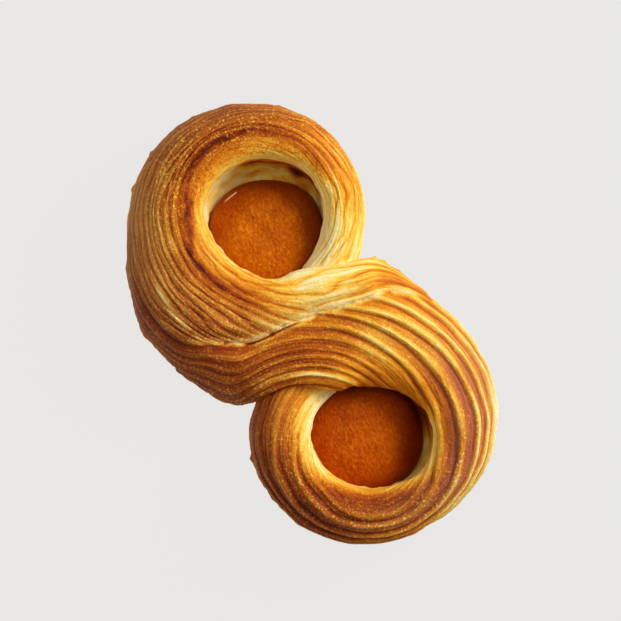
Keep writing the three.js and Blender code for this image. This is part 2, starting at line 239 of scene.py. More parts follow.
# ---- Studio ----------------------------------------------------------------------------------------
# Each light: its name, its place in metres to the picture's right, to its top and above the floor, its size
# in metres and its share of the key light's power.
LIGHTS = (("key", (0.68, 0.38, 0.50), 0.36, 1.0), ("fill", (-0.15, 0.25, 1.2), 1.0, 0.6))
WORLD_STRENGTH = 0.24
STUDIO_REACH = 3000.0  # from the middle of the studio's floor to its sides
STUDIO_DROP = 0.05  # how far the studio's floor lies under the danish
CAMERA_REACH = 10.0  # metres


# ---- Numbers ---------------------------------------------------------------------------------------
def ease(x, low, high):
    """0 below low, 1 above high, and between them t * t * (3 - 2t) of the share t gone."""
    share = np.clip((x - low) / (high - low), 0, 1)
    return share * share * (3 - 2 * share)


def within(x, start, full, fade, end):
    """0 up to start, eased up to 1 at full, and eased down again from fade to end."""
    return ease(x, start, full) * (1 - ease(x, fade, end))


def bell(x, middle, width):
    """e to minus the square of the distance from the middle, counted in widths: 1 there and 0 far off."""
    return np.exp(-(((x - middle) / width) ** 2))


def fading(x, middle, span):
    """1 far below the middle and 0 far above it: one over 1 plus e to the distance past it in spans."""
    return 1 / (1 + np.exp((x - middle) / span))


def blend(low, high, share):
    """low where the share is 0, high where it is 1, and straight between them."""
    return low * (1 - share) + high * share


def along(knots, x):
    """A smooth curve through [position, value] knots: on each span a cubic whose end slopes are those
    between the neighbouring knots, held level beyond both ends."""
    table = np.array(knots, float)
    at, value = table[:, 0], table[:, 1]
    slope = np.gradient(value, at)
    slope[1:-1] = (value[2:] - value[:-2]) / (at[2:] - at[:-2])
    x = np.clip(x, at[0], at[-1])
    i = np.clip(np.searchsorted(at, x, side="right") - 1, 0, len(at) - 2)
    span, rise = at[i + 1] - at[i], value[i + 1] - value[i]
    t = (x - at[i]) / span
    bend = (1 - t) * (slope[i] - rise / span) - t * (slope[i + 1] - rise / span)
    return value[i] + rise * t + t * (1 - t) * span * bend


def zone(rows, turn, reach):
    """A value set by a table of rows a turn and columns a distance from the lip, smooth along the turn and
    straight across it."""
    columns = [along([[row[0], row[c + 1]] for row in rows], turn) for c in range(len(ZONE_REACH))]
    total = columns[0]
    for c in range(1, len(ZONE_REACH)):
        share = np.clip((reach - ZONE_REACH[c - 1]) / (ZONE_REACH[c] - ZONE_REACH[c - 1]), 0, 1)
        total = total + share * (columns[c] - columns[c - 1])
    return total


def noise(seed, u, v):
    """Smooth noise from 0 to 1: random values on a grid of whole numbers, eased between the four nearest."""
    table = np.random.default_rng(seed).random((NOISE_GRID, NOISE_GRID))
    i, j = np.floor(u).astype(int), np.floor(v).astype(int)
    a, b = ease(u - i, 0, 1), ease(v - j, 0, 1)
    i, j, k, l = i % NOISE_GRID, j % NOISE_GRID, (i + 1) % NOISE_GRID, (j + 1) % NOISE_GRID
    return blend(blend(table[i, j], table[k, j], a), blend(table[i, l], table[k, l], a), b)


def sway(seed, u, v):
    """The same noise from minus a half to a half."""
    return noise(seed, u, v) - 0.5


def plan(curl, turn, radius):
    """Point of the plan at a turn and radius of a curl: from the well's centre, the radius times the turn's
    cosine towards the other well and times its sine to the side, both mirrored for the fine curl."""
    angle = np.radians(turn)
    return curl["side"] * (WELL_OFFSET - radius * np.cos(angle)), curl["side"] * radius * np.sin(angle)


def polar(curl, x, y):
    """Turn, from -180 to 180, and radius of a curl at a point of the plan: the reverse of plan."""
    across, up = WELL_OFFSET - curl["side"] * x, curl["side"] * y
    return np.degrees(np.arctan2(up, across)), np.hypot(across, up)


# ---- The layers ------------------------------------------------------------------------------------
def broad_level(turn, radius):
    """Level of the broad curl's layer through a point: its radius less the spiral, which eases out round the
    well and is weaker for the outer levels, and less the roll of the inner layers."""
    spiral = SPIRAL["fall"] * np.logaddexp(0, (SPIRAL["levels_at"] - turn) / SPIRAL["ease"])
    level = radius - spiral
    for _ in range(SPIRAL_CUT["passes"]):
        level = radius - spiral * (1 - SPIRAL_CUT["share"] * ease(level, *SPIRAL_CUT["between"]))
    return level - along(BROAD["roll"], turn) * (1 - ease(level, *ROLL_ENDS))


def flank_radius(turn, radius):
    """Radius that a layer of the fine curl's flank has once it runs round the well: towards the line of
    centres the layers turn in under the seam, by a dip that fades with the turn."""
    return radius + FLANK_DIP["depth"] * fading(turn, FLANK_DIP["middle"], FLANK_DIP["span"])


def fine_level(turn, radius):
    """Level of the fine curl's layer through a point: the layers draw together towards the line of centres,
    less their roll, and those of the flank pass outside the end of the seam."""
    squeeze = SQUEEZE["share"] * fading(turn, SQUEEZE["middle"], SQUEEZE["span"])
    level = SQUEEZE["radius"] + (radius - SQUEEZE["radius"]) * (1 - squeeze)
    level = level - along(FINE["roll"], turn) * (1 - ease(level, *ROLL_ENDS))
    return blend(level, flank_radius(turn, radius), ease(radius, 38, 50) * ease(turn, 20, 44))


def rounded_ribs(seed, level, run, pitch, wander=1.0):
    """Ribs side by side: half a sine skewed to one side between grooves at about every pitch. Their spacing
    wanders, so that they part and join, and their height changes from rib to rib and along each rib.
    Returns height and groove, 0 to 1."""
    step = level / pitch
    count = step + wander * (1.3 * noise(seed, step / 2.7, run / 30) + 0.5 * noise(seed + 1, step, run / 8))
    rib = np.floor(count)
    swell = np.sin(np.pi * (count - rib) ** RIB_SKEW)
    height = 0.25 + 0.75 * noise(seed + 2, rib * 1.37, run / 18 + rib * 7.1)
    return swell * height, (1 - swell) ** 3 * (0.4 + 0.6 * height)


def tears(seed, level, run, width, length, share):
    """Short slits or flakes drawn out along the layers: smooth noise above a threshold, 0 to 1."""
    strip = level / width
    return ease(noise(seed, strip, run / length + 0.7 * np.floor(strip)), share, share + 0.12)


def numbered_ridges(level, run, main):
    """The broad curl's ridges: the level wanders a little, RIDGES turns it into a count, and a ridge is e to
    minus a power of the distance from the nearest whole number, in half widths that differ on its two
    sides. Returns the number, the distance in millimetres and the ridge, 0 to 1."""
    wander = (1.6 - 0.9 * main) * sway(21, level / 6, run / 26) + 0.5 * sway(22, level / 2, run / 6)
    count = along(RIDGES, level + wander)
    number = np.round(count)
    gap = np.where(level > RIDGE_GAPS["from"], RIDGE_GAPS["outside"], RIDGE_GAPS["inside"])
    off = (count - number) * gap
    width = np.where(off < 0, *RIDGE_SIDES) * (0.75 + 0.5 * noise(26, number * 3.1, run / 9))
    return number, off, np.exp(-(np.abs(off / width) ** RIDGE_POWER))


def broad_layers(level, run, turn):
    """Relief of the broad curl: narrow pale ridges over smooth bands that carry faint fine ribs. Each part
    is weighed by its share of the main, inner, low and late stretches. Returns millimetres of height, and
    how far it is a pale ridge and a dark groove, 0 to 1."""
    main = np.maximum(ease(level, 19, 25), ease(level, 17, 18.5) * ease(turn, 150, 190))
    inner = (1 - ease(level, 17, 21)) * ease(turn, 15, 75)
    low = np.maximum((1 - main) * (1 - inner), 0.6 * ease(turn, 235, 290))
    late = 1 - 0.7 * ease(turn, 255, 300)
    number, off, ridge = numbered_ridges(level, run, main)
    patchy = np.clip(0.1 + noise(23, number * 1.7, run / 12 + number * 5), 0, 1)
    ridge = ridge * blend(patchy, 0.95, 0.45 + 0.35 * main) * (1 - 0.75 * inner) * late
    undercut = bell(off, *UNDERCUT) * (1 - inner) * (0.4 + 0.6 * main) * late
    swell, groove = rounded_ribs(24, level, run, RIB_PITCH["broad"])
    slit = tears(27, level, run, 0.8, 5.0, 0.72)
    height = (ridge - 0.35 * undercut) * (0.65 + 0.35 * main) - 0.12 * slit
    height = height + swell * (0.08 * main + 0.26 * inner + 0.22 * low) * (1 - 0.5 * ridge)
    pale = ridge * (0.8 + 0.2 * main) + swell * (0.3 * inner + 0.45 * low)
    dark = groove * (0.1 * main * (1 - ridge) + 0.45 * inner + 0.55 * low)
    # Painted shadow: the groove beside each ridge is darkened in colour as well as cut a little into the
    # relief.
    dark = dark + 0.9 * undercut + 0.35 * slit
    return height, np.clip(pale, 0, 1), np.clip(dark, 0, 1)


def fine_layers(level, run, turn):
    """Relief of the fine curl: uneven rounded ribs with finer ones on them, torn into flakes along the crest
    and calmer on the rim and the flank. Returns as broad_layers does."""
    flaky = within(level, 24, 28, 33, 37) * within(turn, 110, 140, 215, 240)
    rim = (1 - ease(level, 22, 27)) * ease(turn, 50, 100) * (1 - 0.6 * ease(turn, 240, 280))
    flank = ease(level, 29, 34) * within(turn, 75, 105, 200, 235)
    calm = (1 - 0.75 * rim) * (1 - 0.35 * flank)
    swell, groove = rounded_ribs(31, level, run, RIB_PITCH["fine"], wander=1.5)
    small, crack = rounded_ribs(35, level, run, RIB_PITCH["finest"])
    slit = tears(38, level, run, 0.7, 7.0, 0.68)
    flake = tears(39, level, run, 0.9, 6.0, 0.72)
    height = 0.54 * swell + 0.18 * small - (0.16 + 0.3 * flaky) * slit + (0.12 + 0.4 * flaky) * flake
    pale = np.clip(swell * 1.2 - 0.2, 0, 1) * (0.6 + 0.4 * small) + 0.3 * flake
    dark = groove + 0.35 * crack + 0.4 * slit
    return height * calm, np.clip(pale * calm, 0, 1), np.clip(dark * calm, 0, 1)


def broad_paler(level, run, turn, ridge):
    """How much less the broad curl is baked where its layers are tucked in beside the seam, in drawn out
    patches, and on the ridges of its outer side."""
    tucked = bell(level, 5, 2.2) * within(turn, -50, -34, 5, 25)
    strip = ease(level, 24, 27) * (1 - 0.8 * ease(level, 37, 43)) * within(turn, 80, 100, 145, 180)
    return 0.5 * tucked * (0.1 + 1.1 * noise(43, run / 9, level / 0.8)) + 0.21 * ridge * strip


def fine_band(level, run, turn, radius):
    """How much more the fine curl is baked in its dark band: a bell across the band, whose middle wavers
    and which comes in patches."""
    off = radius - along(DARK_BAND, turn) - 1.2 * sway(41, run / 6, level / 4)
    patches = 0.45 + 1.1 * noise(42, run / 2.5, level / 1.2)
    return along(DARK_BAND_BAKE, turn) * bell(off, 0, along(DARK_BAND_WIDTH, turn)) * patches


def describe(curl, turn, radius, level):
    """Relief, colour zones and place along and across the layers, at points of one curl's layers."""
    run = np.radians(turn) * RUN_RADIUS
    reach = radius - along(curl["lip"], turn)
    made = {name: zone(curl[name], turn, reach) for name in ZONES}
    if curl is BROAD:
        height, ridge, groove = broad_layers(level, run, turn)
        made["bake"] = made["bake"] - broad_paler(level, run, turn, ridge)
    else:
        height, ridge, groove = fine_layers(level, run, turn)
        made["bake"] = made["bake"] + fine_band(level, run, turn, radius)
    return made | {"reach": reach, "height": height, "ridge": ridge, "groove": groove,
                   "level": level + curl["seed"], "run": run}


def layers(curl, grid):
    """All that the layers set at points of a curl's sweep: each curl's layers on its side of the seam, and
    past the seam's left end the broad curl's layers flowing into the fine curl's flank. Below the shoulder
    the layers keep the course that they have there."""
    below = np.maximum(grid.unrolled - grid.shoulder, 0)
    turn, radius = grid.turn, grid.unrolled - below
    x, y = plan(curl, turn, np.maximum(radius, LEAST_RADIUS))
    seam = x - along(SEAM, y)
    broad_side = ease(seam, *SEAM_BLEND)
    if curl is BROAD:
        turn_b, radius_b, level_b = turn, radius, broad_level(turn, radius)
        turn_f, radius_f = polar(FINE, x, y)
        before = (y > 0) & (turn_f < 1)
        broad_share = blend(broad_side, 1, ease(turn, 50, 60))
    else:
        turn_b, radius_b = polar(BROAD, x, y)
        turn_b = np.maximum(turn_b, BROAD["bake"][0][0])
        turn_f, radius_f = turn, radius
        before = turn < 0
        flank = flank_radius(turn, radius)
        flank_level = FLANK_LEVELS["start"] - FLANK_LEVELS["fall"] * flank
        level_b = blend(broad_level(turn_b, radius_b), flank_level, ease(turn, 30, 50))
        flows_on = ease(flank, 47.5, 50) * (1 - ease(turn, 62, 110))
        broad_share = blend(broad_side, flows_on, ease(turn, 43, 50))
    straight = WELL_OFFSET + along(SEAM, 0) + seam * (1 + STRAND_SPREAD * np.maximum(y, 0))
    level_f = np.where(before, fine_level(0, straight), fine_level(np.maximum(turn_f, 0), radius_f))
    level_b, level_f = level_b + curl["side"] * below, level_f - curl["side"] * below
    broad = describe(BROAD, turn_b, radius_b, level_b)
    fine = describe(FINE, turn_f, radius_f, level_f)
    made = {key: blend(fine[key], broad[key], broad_share) for key in broad}
    made["seam"] = seam + np.where(seam < 0, -SEAM_GONE, SEAM_GONE) * ease(turn, 60, 80)
    made["seam_share"] = 1 - ease(np.abs(y), *SEAM_ENDS)
    made["plan"] = (x, y)
    return made


# ---- The strand's form -----------------------------------------------------------------------------
def quarter(centre, side, peak, share, power):
    """A quarter of a superellipse, from its side at share 0 to its peak at share 1: the angle's cosine and
    sine, each to 2 / power, are the shares gone from the centre out to the side's radius and up or down to
    the peak's height."""
    angle = share * np.pi / 2
    across, up = np.cos(angle) ** (2 / power), np.sin(angle) ** (2 / power)
    return centre[0] + (side - centre[0]) * across, centre[1] + (peak - centre[1]) * up


def joined(*stretches):
    """Stretches of the section end to end, as one array of radii and one of heights."""
    return tuple(np.hstack(values) for values in zip(*stretches))


def section(curl, other, turn):
    """The strand's section at each turn, as arrays of radius and height with one row a turn: up the well's
    wall, over the lip and crest, down the belly, round under it and back along the underside. Each stretch
    is a quarter of a superellipse or straight, and where the curls meet the section spans both wells' lips.
    Returns the stretches by name, and the crest's radius."""
    turn = turn[:, None]
    lip, outer, top = (along(curl[key], turn) for key in ("lip", "outer", "crest"))
    middle = 1 - ease(turn, *MEETING)
    crest = blend(lip + CREST_SHARE * (outer - lip), (lip + outer) / 2, middle)
    lip_height = top - LIP_DROP
    wall_foot = lip - along(curl["slope"], turn)
    other_foot = 2 * WELL_OFFSET - (other["lip"][0][1] - other["slope"][0][1])
    belly = blend(np.minimum(BELLY_HEIGHT, top / 2), lip_height, middle)
    foot = blend(outer - FOOT_INSET, other_foot, middle)
    power = blend(ROUNDNESS["apart"], ROUNDNESS["meeting"], middle)
    share = np.linspace(0, 1, SECTION_DETAIL, endpoint=False)[None, :]
    level = np.zeros((len(turn), SECTION_DETAIL))
    inner = quarter((crest, lip_height), lip, top, share, power)
    outside = quarter((crest, belly), outer, top, 1 - share, power)
    base = (blend(foot - BASE_OVERLAP, wall_foot, share), level)
    closing = (wall_foot + level, FLOOR_TOP * share + level)
    return {"wall": quarter((wall_foot, lip_height), lip, FLOOR_TOP, 1 - share, WALL_POWER),
            "top": joined(inner, outside),
            "under": quarter((foot, belly), outer, FLOOR_TOP * middle, share, WALL_POWER),
            "base": joined(base, closing)}, crest


def even(radius, height, count):
    """Resamples each row at even steps of its own arc length. The rows are laid end to end on one rising
    line, so that one interpolation serves them all."""
    step = np.hypot(np.diff(radius, axis=1), np.diff(height, axis=1)) + LEAST_STEP
    length = np.hstack([np.zeros((len(step), 1)), np.cumsum(step, axis=1)])
    length /= length[:, -1:]
    row = 2.0 * np.arange(len(length))[:, None]
    wanted = row + np.linspace(0, 1, count, endpoint=False)[None, :]
    line = (row + length).ravel()
    return tuple(np.interp(wanted.ravel(), line, values.ravel()).reshape(wanted.shape)
                 for values in (radius, height))


def section_grid(curl, other):
    """The bare sweep, as arrays with one row a turn and one column a point of the section: its turn, radius,
    height and outward normal, and `unrolled`, the crest's radius plus the arc length gone from the crest.
    `shoulder` is where, unrolled, the outside drops out of sight."""
    turn = np.linspace(0, LAST_TURN, TURN_STEPS)
    stretches, crest = section(curl, other, turn)
    radius, height = joined(*(even(*stretches[name], count) for name, count in STRETCHES.items()))
    step_r = np.roll(radius, -1, 1) - np.roll(radius, 1, 1)
    step_h = np.roll(height, -1, 1) - np.roll(height, 1, 1)
    length = np.hypot(step_r, step_h) + LEAST_STEP
    arc = np.cumsum(np.hypot(np.diff(radius, axis=1), np.diff(height, axis=1)), axis=1)
    arc = np.hstack([np.zeros((len(radius), 1)), arc])
    column = np.arange(RING_SIZE)[None, :]
    outside = (column > TOP_START) & (radius > crest)
    rows = np.arange(len(radius))
    past = np.argmax(outside, axis=1)
    share = (crest[:, 0] - radius[rows, past - 1]) / (radius[rows, past] - radius[rows, past - 1])
    unrolled = crest + arc - blend(arc[rows, past - 1], arc[rows, past], share)[:, None]
    low = np.argmax(outside & (height < SHOULDER_HEIGHT), axis=1)
    return SimpleNamespace(turn=turn[:, None] + np.zeros_like(radius), radius=radius, height=height,
                           normal_r=-step_h / length, normal_h=step_r / length, column=column,
                           outside=outside, unrolled=unrolled, shoulder=unrolled[rows, low][:, None])


def lift(curl, grid, made, relief):
    """Millimetres by which each point stands out along its normal: the layers' relief, soft lumps and fine
    pimples on the top, the wall's own lumps, and the roughness and burrs of the torn outer edge."""
    (x, y), turn, column = made["plan"], grid.turn, grid.column
    top = within(column, TOP_START - 6, TOP_START + 22, TOP_END + 4, TOP_END + STRETCHES["under"])
    wall = within(column, 0, 8, TOP_START - 2, TOP_START + 16)
    edge = bell(column, TOP_END - 6, 11.0) * ease(turn, 20, 40)
    around = turn * np.hypot(x - curl["side"] * WELL_OFFSET, y)
    lumps = 0.7 * sway(3, x / 7, y / 7) + 0.12 * sway(4, x / 0.8, y / 0.8)
    wall_lumps = 0.9 * sway(curl["seed"] + 5, grid.height / 4, turn / 9)
    rough = (0.4 + curl["ragged"] * (1 - ease(turn, 75, 95))) * sway(12, around / 110, column / 5.0)
    burrs = 0.7 * sum(size * bell(turn, at, width) for at, width, size in curl["burrs"])
    return (relief * made["height"] + lumps) * top + wall_lumps * wall + (rough + burrs) * edge


def lowered(height, made, depth):
    """The height less the seam's valley, a wide bell and a sharp crease, and never below the ground."""
    crease_depth, crease_width = SEAM_CREASE
    valley = depth * bell(made["seam"], 0, SEAM_WIDTH) + crease_depth * bell(made["seam"], 0, crease_width)
    return np.maximum(height - valley * made["seam_share"] * ease(height, *SEAM_HEIGHTS), 0)


def seam_marks(made, height):
    """How near a point lies beside the seam on its fine side, how much it belongs to the web of pale dough
    in the seam or to the pale streak, and how much to the split and the hole beside them, each 0 to 1. The
    split and the hole are painted shade: the split darkens the seam's crease and the hole is only a dark
    mark."""
    seam, (x, y) = made["seam"], made["plan"]
    beside = bell(seam, 0, 4.0) * made["seam_share"] * ease(y, -26, 2) * ease(-seam, -1, 1)
    web = bell(seam, 0, 1.4) * (1 - ease(-y, 27, 42)) * (1 - ease(y, 33, 38))
    web = web * np.maximum(ease(noise(9, x / 2.2, y / 2.2), 0.2, 0.6), 0.7 * ease(-y, 22, 27))
    streak = bell(y, along(PALE_STREAK, x), 0.9) * within(x, -37, -29, -14, -9)
    streak = streak * ease(noise(13, x / 4, y / 4), 0.1, 0.6) * ease(height, 10, 14)
    split = bell(seam, 0.5, 0.35) * within(-y, 2, 7, 19, 24)
    hole = bell(x, SEAM_HOLE[0], 0.5) * bell(y, SEAM_HOLE[1], 0.9)
    return beside, np.maximum(web, 0.75 * streak), np.maximum(split, 0.8 * hole)


def wall_bake(curl, turn, height):
    """How far the well's wall is baked: a pale ground with soft patches, and more on the near side of the
    broad well. The fine well's far side, under its lip and away from the key light, is darkened as painted
    shade, and has one dark spot."""
    patches = ease(noise(curl["seed"] + 6, turn / 17, height / 2.2), 0.3, 0.9)
    bake = 0.06 + (0.12 + 0.18 * ease(turn, 160, 190)) * patches
    if curl is BROAD:
        return bake + 0.55 * (1 - ease(turn, 92, 124)) + 0.1 * (1 - ease(turn, 130, 190))
    # Painted shade: the fine well's far wall, under the lip and away from the key light, is darkened, more
    # so higher up.
    painted_shade_far_wall = within(turn, 165, 200, 262, 290) * (0.1 + 0.34 * ease(height, 9, 15))
    return bake + painted_shade_far_wall + 1.1 * bell(turn, 238, 8) * bell(height, 11.5, 2.2)


def curl_values(curl, grid, made, height):
    """The attributes that the crust's material reads: each zone of the layers, faded in over the top of the
    section, with the seam's marks, the wall and the underside laid over them."""
    turn, column = grid.turn, grid.column
    beside, web, split = seam_marks(made, height)
    top = within(column, TOP_START - 2, TOP_START + 10, TOP_END - 2, TOP_END + 20)
    wall = 1 - ease(column, TOP_START - 4, TOP_START + 4)
    under = ease(column, TOP_END + 2, TOP_END + 26)
    rim = within(made["reach"], -1, 1, 4, 7) * within(turn, 90, 130, 250, 290)
    # Painted shade: the split along the seam's crease and the small hole are darkened.
    bake = blend(made["bake"] - 0.2 * beside, 0.1, web) + 0.7 * split
    bake = bake * (1 - 0.3 * grid.outside * (1 - ease(height, 8, SHOULDER_HEIGHT)))
    bake = blend(blend(bake, wall_bake(curl, turn, height), wall), UNDER_BAKE, under)
    return {"bake": bake, "dull": blend(made["dull"], UNDER_DULL, under), "rim": curl["crackled"] * rim,
            "ridge": made["ridge"] * (1 - web) * top, "web": web * top,
            "groove": np.maximum(made["groove"] * (1 - 0.6 * web), split) * top,
            "blister": made["blister"] * top, "gloss": made["gloss"] * top}


def curl_surface(curl, other, sizes):
    """Points, attributes and flow of one curl: the section at each turn, lifted along its normal by the
    layers, lowered into the seam and carried round the well."""
    grid = section_grid(curl, other)
    made = layers(curl, grid)
    out = lift(curl, grid, made, sizes.relief)
    radius = grid.radius + grid.normal_r * out
    height = lowered(grid.height + grid.normal_h * out, made, sizes.seam_depth / MM)
    points = np.stack([*plan(curl, grid.turn, radius), height], -1)
    flow = np.stack([made["run"], made["level"], np.zeros_like(radius)], -1)
    return points, curl_values(curl, grid, made, height), flow


def swept_faces(rings, size, doubled_ends=False):
    """Faces of a surface swept as rings of points that close on themselves: a square between each pair of
    neighbours on two rings, and one face over each end. With doubled ends, the first and last rings only
    carry the end faces, so that these leave the shading of the sweep alone."""
    skip = 1 if doubled_ends else 0
    ring, spot = np.meshgrid(np.arange(skip, rings - 1 - skip), np.arange(size), indexing="ij")
    here, after = ring * size, (spot + 1) % size
    quads = np.stack([here + spot, here + size + spot, here + size + after, here + after], -1)
    caps = [list(range(size)), list(range(rings * size - 1, (rings - 1) * size - 1, -1))]
    return quads.reshape(-1, 4).tolist() + caps


def with_end_rings(rows):
    """The rows with the first and the last one doubled."""
    return np.concatenate([rows[:1], rows, rows[-1:]])


def round_angles(count):
    """Angles of the points of a ring, clockwise from above, so that rings laid from the bottom up make faces
    that look outward."""
    return -np.linspace(0, 2 * np.pi, count, endpoint=False)[None, :]


def new_piece(name, points, faces, material, values=None, flow=None):
    """A mesh object with its place in its mesh, its attributes and its material."""
    mesh = bpy.data.meshes.new(name)
    mesh.from_pydata((points.reshape(-1, 3) * MM).tolist(), [], faces)
    mesh.polygons.foreach_set("use_smooth", [len(face) == 4 for face in faces])
    for key, value in (values or {}).items():
        spread = np.broadcast_to(value, points.shape[:2]).astype(np.float32).ravel()
        mesh.attributes.new(key, "FLOAT", "POINT").data.foreach_set("value", spread)
    if flow is not None:
        spread = flow.astype(np.float32).ravel()
        mesh.attributes.new("flow", "FLOAT_VECTOR", "POINT").data.foreach_set("vector", spread)
    mesh.materials.append(material)
    mesh.update()
    piece = bpy.data.objects.new(name, mesh)
    bpy.context.scene.collection.objects.link(piece)
    return piece


# ---- Materials -------------------------------------------------------------------------------------
def display(red, green, blue):
    """A colour as screens show it, given from 0 to 255, as shares from 0 to 1."""
    return red / 255, green / 255, blue / 255


def linear(colour):
    """A display colour as the linear one that shaders use: a twelfth part of it in the darkest shades, and
    above them a power of 2.4 of it."""
    share = np.array(colour[:3], float)
    high = ((share + 0.055) / 1.055) ** 2.4
    return (*np.where(share <= 0.04045, share / 12.92, high), 1.0)


# Colours of the crust against how far it is baked: of the full crust, by name, and of the greyer tan that is
# painted shade on the outer flanks and the underside's own duller colour.
RICH_BAKE = ((0, "cream"), (0.2, "yellow"), (0.4, "gold"), (0.6, "brown"), (0.8, "dark"), (1, "burnt"))
DULL_AND_SHADE_BAKE = ((0, display(250, 236, 200)), (0.3, display(214, 172, 112)), (0.5, display(178, 128, 74)),
             (0.75, display(112, 66, 30)), (1, display(58, 28, 10)))
# Colour of the painted mauve reflection of the glaze.
PAINTED_SHEEN_COLOUR = display(178, 112, 84)
WEB_SPOT = display(170, 146, 104)
# Colour of the painted highlight of glaze on the fruit.
PAINTED_GLINT_COLOUR = display(255, 226, 210)
REDDER = (0.97, 0.7, 0.6, 1.0)  # what the redder fruit's linear colour is multiplied by
STUDIO_SHADE = display(40, 40, 40)  # of the studio's floor without its glow

# How many features of each pattern lie along a metre of the object, and, in the flow's patterns, along a
# millimetre of its run and across its levels.
RATES = {"patch": 110, "grit": 1700, "blister": 1250, "spots": 420, "waver": 260, "cells": 420, "fruit": 85}
BRUSHED_RATES = (550, 1200, 1200)
FLOW_RATES = {"streak": (0.16, 1.7, 1), "stripe": (0.05, 0.6, 1), "hair": (0.5, 5, 1)}
WAVER_REACH = 0.006  # metres by which the edges of the crackled cells waver

CRUST_FINISH = {"Coat Weight": 0.03, "Coat Roughness": 0.25, "Specular IOR Level": 0.09}
FRUIT_FINISH = {"Coat Weight": 0.02, "Coat Roughness": 0.15, "Specular IOR Level": 0.04,
                "Subsurface Weight": 0.1, "Subsurface Radius": (1, 0.35, 0.08), "Subsurface Scale": 2 * MM}


class Tree:
    """A short way to add nodes to a tree and to join them. Apart from add and feed, each method returns the
    output of the node that it makes."""

    def __init__(self, tree):
        self.tree = tree

    def add(self, kind, settings=None, **inputs):
        """A node of a kind, with its settings, and its inputs by name."""
        node = self.tree.nodes.new(kind)
        for key, value in (settings or {}).items():
            setattr(node, key, value)
        for key, value in inputs.items():
            self.feed(node.inputs[key.replace("_", " ")], value)
        return node

    def feed(self, socket, value):
        """Joins another node's output to an input, or sets the input to a plain value."""
        if isinstance(value, bpy.types.NodeSocket):
            self.tree.links.new(value, socket)
        else:
            socket.default_value = value

    def math(self, operation, *values, clamp=False):
        """The result of one operation on numbers, held between 0 and 1 if it is clamped."""
        node = self.add("ShaderNodeMath", {"operation": operation, "use_clamp": clamp})
        for socket, value in zip(node.inputs, values):
            self.feed(socket, value)
        return node.outputs[0]

    def times(self, first, second):
        """The product of two numbers."""
        return self.math("MULTIPLY", first, second)

    def total(self, *values):
        """The sum of all the numbers."""
        result = values[0]
        for value in values[1:]:
            result = self.math("ADD", result, value)
        return result

    def swing(self, mask, amount):
        """A mask from 0 to 1 as a change from minus half the amount to plus half of it."""
        return self.times(self.math("SUBTRACT", mask, 0.5), amount)

    def mix(self, share, low, high, blend_type="MIX"):
        """The low colour where the share is 0 and the high one where it is 1."""
        node = self.add("ShaderNodeMix", {"data_type": "RGBA", "blend_type": blend_type})
        colours = [socket for socket in node.inputs if socket.type == "RGBA"]
        for socket, value in zip((node.inputs[0], *colours), (share, low, high)):
            self.feed(socket, value)
        return next(socket for socket in node.outputs if socket.type == "RGBA")

    def attribute(self, name, output="Fac"):
        """A value or a vector that the mesh carries under a name."""
        return self.add("ShaderNodeAttribute", {"attribute_name": name}).outputs[output]

    def place(self):
        """The place in the object."""
        return self.add("ShaderNodeTexCoord").outputs["Object"]

    def stretched(self, vector, scale):
        """The vector with each part multiplied by that of the scale."""
        return self.add("ShaderNodeMapping", Vector=vector, Scale=scale).outputs[0]

    def cloud(self, vector, scale, detail=3.0, rough=0.6):
        """Soft noise from 0 to 1."""
        node = self.add("ShaderNodeTexNoise", Vector=vector, Scale=scale, Detail=detail, Roughness=rough)
        return node.outputs[0]

    def ramp(self, share, stops):
        """The colour at a share of the way through stops of a place and a display colour."""
        node = self.add("ShaderNodeValToRGB", Fac=share)
        points = node.color_ramp.elements
        for point, (place, colour) in zip(points, (stops[0], stops[-1])):
            point.position, point.color = place, linear(colour)
        for place, colour in stops[1:-1]:
            points.new(place).color = linear(colour)
        return node.outputs[0]

    def between(self, value, low, high, to_low=0.0, to_high=1.0):
        """The value eased from to_low at low to to_high at high."""
        node = self.add("ShaderNodeMapRange", {"interpolation_type": "SMOOTHSTEP"}, Value=value)
        for socket, number in zip(node.inputs[1:5], (low, high, to_low, to_high)):
            socket.default_value = number
        return node.outputs[0]


def crumb_group():
    """Fine grain that every baked or fruit surface shares: a soft mottle and a sharp speck, each 0 to 1,
    about as many millimetres across as its size."""
    group = bpy.data.node_groups.new("crumb_grain", "ShaderNodeTree")
    for name, way, kind in (("Vector", "INPUT", "Vector"), ("Size", "INPUT", "Float"),
                            ("Mottle", "OUTPUT", "Float"), ("Speck", "OUTPUT", "Float")):
        group.interface.new_socket(name, in_out=way, socket_type="NodeSocket" + kind)
    tree = Tree(group)
    start = tree.add("NodeGroupInput")
    end = tree.add("NodeGroupOutput")
    place = start.outputs["Vector"]
    rate = tree.math("DIVIDE", 1 / MM, start.outputs["Size"])
    cells = tree.add("ShaderNodeTexVoronoi", {"feature": "F1"}, Vector=place, Scale=rate)
    tree.feed(end.inputs["Mottle"], tree.cloud(place, rate, detail=4.0))
    tree.feed(end.inputs["Speck"], tree.between(cells.outputs["Distance"], 0.42, 0.12))
    return group


def new_material(name, settings):
    """An empty material of that name with one shader, whose plain inputs the settings give."""
    material = bpy.data.materials.new(name)
    material.use_nodes = True
    material.node_tree.nodes.clear()
    tree = Tree(material.node_tree)
    shader = tree.add("ShaderNodeBsdfPrincipled")
    for key, value in settings.items():
        shader.inputs[key].default_value = value
    tree.add("ShaderNodeOutputMaterial", Surface=shader.outputs[0])
    return material, tree, shader


